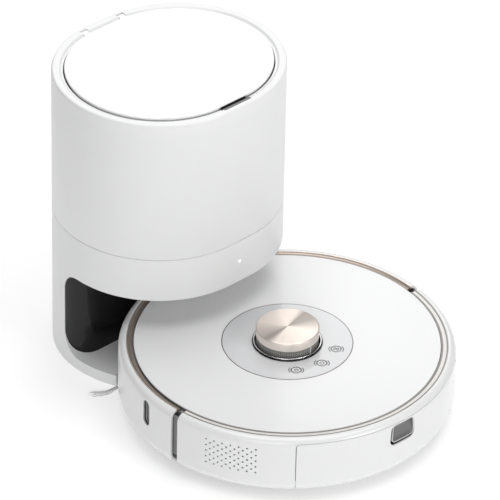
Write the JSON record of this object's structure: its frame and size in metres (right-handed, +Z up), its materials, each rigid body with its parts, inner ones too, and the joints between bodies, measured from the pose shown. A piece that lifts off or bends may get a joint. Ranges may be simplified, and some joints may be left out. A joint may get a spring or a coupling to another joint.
{
  "type": "robot vacuum",
  "caption": "Round white robot vacuum with a laser turret, docked in its tall self-emptying station with a lift-up lid.",
  "frame": {"origin": "centre of the station's footprint on the floor, under its middle foot", "axes": "+Z up; +Y from the robot towards the back of the station; +X to the right seen from the robot's rear"},
  "size_m": [0.35, 0.471, 0.331],
  "materials": {
    "white_housing": "satin",
    "white_gloss": "gloss",
    "robot_white": "satin",
    "rim_grey": "satin",
    "black_gloss": "gloss",
    "smoky_window": "gloss",
    "champagne": "radially brushed",
    "control_grey": "satin",
    "icon_grey": "satin",
    "grey_plastic": "matte",
    "dark_plastic": "matte",
    "steel": "satin",
    "brass": "polished",
    "rubber": "matte",
    "tyre": "matte",
    "bag_fabric": "nonwoven",
    "card": "matte",
    "filter_paper": "pleated",
    "board_green": "solder mask",
    "light": "diffusing",
    "brush_orange": "satin",
    "side_brush_white": "satin"
  },
  "bodies": {
    "station": {"station_base": "white_housing", "station_feet": "rubber", "lower_housing": "white_housing", "cavity_panel": "black_gloss", "upper_housing": "white_housing", "rim_trim": "rim_grey", "lid_hinge_pins": "steel", "bag_tray": "grey_plastic", "bag_collar": "card", "dust_bag": "bag_fabric", "suction_motor": "dark_plastic", "exhaust_filter": "filter_paper", "rear_grille": "grey_plastic", "air_duct": "grey_plastic", "port_seal": "rubber", "power_board": "board_green", "power_inlet": "dark_plastic", "status_led": "light", "housing_screws": "steel"},
    "station_lid": {"station_lid": "white_gloss"},
    "charge_contact_left": {"charge_contact_left": "brass"},
    "charge_contact_right": {"charge_contact_right": "brass"},
    "robot": {"chassis": "grey_plastic", "chassis_wall": "grey_plastic", "rear_housing": "robot_white", "rear_trim": "champagne", "top_cover": "white_gloss", "control_disc": "control_grey", "lidar_ring": "black_gloss", "lidar_window": "smoky_window", "lidar_cap": "champagne", "battery": "dark_plastic", "main_board": "board_green", "suction_fan": "dark_plastic", "brush_box": "grey_plastic", "brush_guard": "dark_plastic", "side_brush_motor": "grey_plastic", "charge_pads": "brass", "cliff_sensors": "black_gloss"},
    "bumper": {"bumper": "robot_white", "bumper_trim": "champagne", "wall_sensor": "black_gloss"},
    "home_button": {"home_button": "icon_grey"},
    "power_button": {"power_button": "icon_grey"},
    "spot_button": {"spot_button": "icon_grey"},
    "lidar_rotor": {"lidar_rotor": "dark_plastic"},
    "dust_bin": {"dust_bin": "robot_white", "bin_filter": "filter_paper"},
    "bin_release": {"bin_release": "icon_grey"},
    "main_brush": {"main_brush": "brush_orange"},
    "side_brush": {"side_brush": "side_brush_white", "side_brush_bristles": "side_brush_white"},
    "wheel_arm_left": {"wheel_arm_left": "grey_plastic"},
    "wheel_arm_right": {"wheel_arm_right": "grey_plastic"},
    "drive_wheel_left": {"drive_wheel_left": "dark_plastic", "tyre_left": "tyre"},
    "drive_wheel_right": {"drive_wheel_right": "dark_plastic", "tyre_right": "tyre"},
    "caster_fork": {"caster_fork": "dark_plastic"},
    "caster_wheel": {"caster_wheel": "rubber"}
  },
  "joints": [
    {"name": "lid_hinge", "type": "hinge", "parent": "station", "child": "station_lid", "pos_m": [0, 0.104, 0.327], "axis": [-1, 0, 0], "range_deg": [0, 85]},
    {"name": "contact_left", "type": "slide", "parent": "station", "child": "charge_contact_left", "axis": [0, 0, -1], "range_m": [0, 0.002], "stiffness_N_per_m": 400, "springref_m": -0.0005},
    {"name": "contact_right", "type": "slide", "parent": "station", "child": "charge_contact_right", "axis": [0, 0, -1], "range_m": [0, 0.002], "stiffness_N_per_m": 400, "springref_m": -0.0005},
    {"name": "robot_drive", "type": "slide", "parent": "station", "child": "robot", "axis": [0, -1, 0], "range_m": [0, 0.3]},
    {"name": "bumper_press", "type": "slide", "parent": "robot", "child": "bumper", "axis": [0, -1, 0], "range_m": [0, 0.003], "stiffness_N_per_m": 400, "springref_m": -0.003},
    {"name": "lidar_spin", "type": "hinge", "parent": "robot", "child": "lidar_rotor", "pos_m": [0, -0.185, 0.08], "axis": [0, 0, 1], "continuous": true},
    {"name": "bin_slide", "type": "slide", "parent": "robot", "child": "dust_bin", "axis": [0, -1, 0], "range_m": [0, 0.12]},
    {"name": "bin_release_press", "type": "slide", "parent": "dust_bin", "child": "bin_release", "axis": [0, 1, 0], "range_m": [0, 0.0015], "stiffness_N_per_m": 300, "springref_m": -0.001},
    {"name": "main_brush_spin", "type": "hinge", "parent": "robot", "child": "main_brush", "pos_m": [0, -0.139, 0.022], "axis": [1, 0, 0], "continuous": true},
    {"name": "side_brush_spin", "type": "hinge", "parent": "robot", "child": "side_brush", "pos_m": [-0.092, -0.084, 0.02], "axis": [0, 0, 1], "continuous": true, "deforming": ["side_brush_bristles"]},
    {"name": "caster_swivel", "type": "hinge", "parent": "robot", "child": "caster_fork", "pos_m": [0, -0.06, 0.03], "axis": [0, 0, 1], "continuous": true},
    {"name": "caster_roll", "type": "hinge", "parent": "caster_fork", "child": "caster_wheel", "pos_m": [0, -0.064, 0.009], "axis": [1, 0, 0], "continuous": true},
    {"name": "home_press", "type": "slide", "parent": "robot", "child": "home_button", "axis": [0, 0, -1], "range_m": [0, 0.0008], "stiffness_N_per_m": 300, "springref_m": -0.001},
    {"name": "power_press", "type": "slide", "parent": "robot", "child": "power_button", "axis": [0, 0, -1], "range_m": [0, 0.0008], "stiffness_N_per_m": 300, "springref_m": -0.001},
    {"name": "spot_press", "type": "slide", "parent": "robot", "child": "spot_button", "axis": [0, 0, -1], "range_m": [0, 0.0008], "stiffness_N_per_m": 300, "springref_m": -0.001},
    {"name": "wheel_drop_left", "type": "hinge", "parent": "robot", "child": "wheel_arm_left", "pos_m": [-0.1, -0.23, 0.03], "axis": [-1, 0, 0], "range_deg": [-3, 20], "stiffness_Nm_per_rad": 0.3, "springref_deg": 20.05},
    {"name": "wheel_spin_left", "type": "hinge", "parent": "wheel_arm_left", "child": "drive_wheel_left", "pos_m": [-0.121, -0.185, 0.034], "axis": [1, 0, 0], "continuous": true},
    {"name": "wheel_drop_right", "type": "hinge", "parent": "robot", "child": "wheel_arm_right", "pos_m": [0.1, -0.23, 0.03], "axis": [-1, 0, 0], "range_deg": [-3, 20], "stiffness_Nm_per_rad": 0.3, "springref_deg": 20.05},
    {"name": "wheel_spin_right", "type": "hinge", "parent": "wheel_arm_right", "child": "drive_wheel_right", "pos_m": [0.121, -0.185, 0.034], "axis": [1, 0, 0], "continuous": true}
  ]
}
